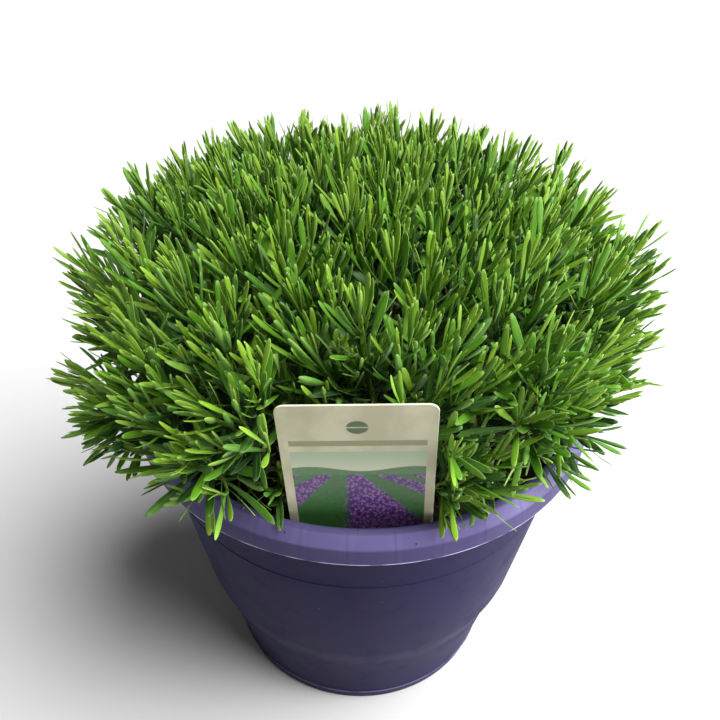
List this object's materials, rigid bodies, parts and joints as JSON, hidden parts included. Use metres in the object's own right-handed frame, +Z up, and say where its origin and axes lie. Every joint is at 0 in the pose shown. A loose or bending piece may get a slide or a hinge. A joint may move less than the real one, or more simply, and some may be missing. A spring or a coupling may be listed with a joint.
{
  "type": "potted lavender",
  "caption": "Bushy lavender with narrow green leaves on upright stems, in a round tapered plastic pot with soil and a plant label.",
  "frame": {"origin": "middle of the pot's underside, on the ground", "axes": "+Z up along the pot's axis; -Y is the front, where the label stands; +X to the right seen from the front"},
  "size_m": [0.3629, 0.3361, 0.3883],
  "materials": {
    "pot_plastic": "matte violet, moulded",
    "soil": "crumbly, damp",
    "label_card": "satin printed card",
    "leafy_stem": "soft matte leaf"
  },
  "bodies": {
    "root": {"pot": "pot_plastic", "soil": "soil", "label": "label_card", "stem_01": "leafy_stem", "stem_02": "leafy_stem", "stem_03": "leafy_stem", "stem_04": "leafy_stem", "stem_05": "leafy_stem", "stem_06": "leafy_stem", "stem_07": "leafy_stem", "stem_08": "leafy_stem", "stem_09": "leafy_stem", "stem_10": "leafy_stem", "stem_11": "leafy_stem", "stem_12": "leafy_stem", "stem_13": "leafy_stem", "stem_14": "leafy_stem", "stem_15": "leafy_stem", "stem_16": "leafy_stem", "stem_17": "leafy_stem", "stem_18": "leafy_stem", "stem_19": "leafy_stem", "stem_20": "leafy_stem", "stem_21": "leafy_stem", "stem_22": "leafy_stem", "stem_23": "leafy_stem", "stem_24": "leafy_stem", "stem_25": "leafy_stem", "stem_26": "leafy_stem", "stem_27": "leafy_stem", "stem_28": "leafy_stem", "stem_29": "leafy_stem", "stem_30": "leafy_stem", "stem_31": "leafy_stem", "stem_32": "leafy_stem", "stem_33": "leafy_stem", "stem_34": "leafy_stem", "stem_35": "leafy_stem", "stem_36": "leafy_stem", "stem_37": "leafy_stem", "stem_38": "leafy_stem", "stem_39": "leafy_stem", "stem_40": "leafy_stem", "stem_41": "leafy_stem", "stem_42": "leafy_stem", "stem_43": "leafy_stem", "stem_44": "leafy_stem", "stem_45": "leafy_stem", "stem_46": "leafy_stem", "stem_47": "leafy_stem", "stem_48": "leafy_stem", "stem_49": "leafy_stem", "stem_50": "leafy_stem", "stem_51": "leafy_stem", "stem_52": "leafy_stem"}
  },
  "joints": []
}
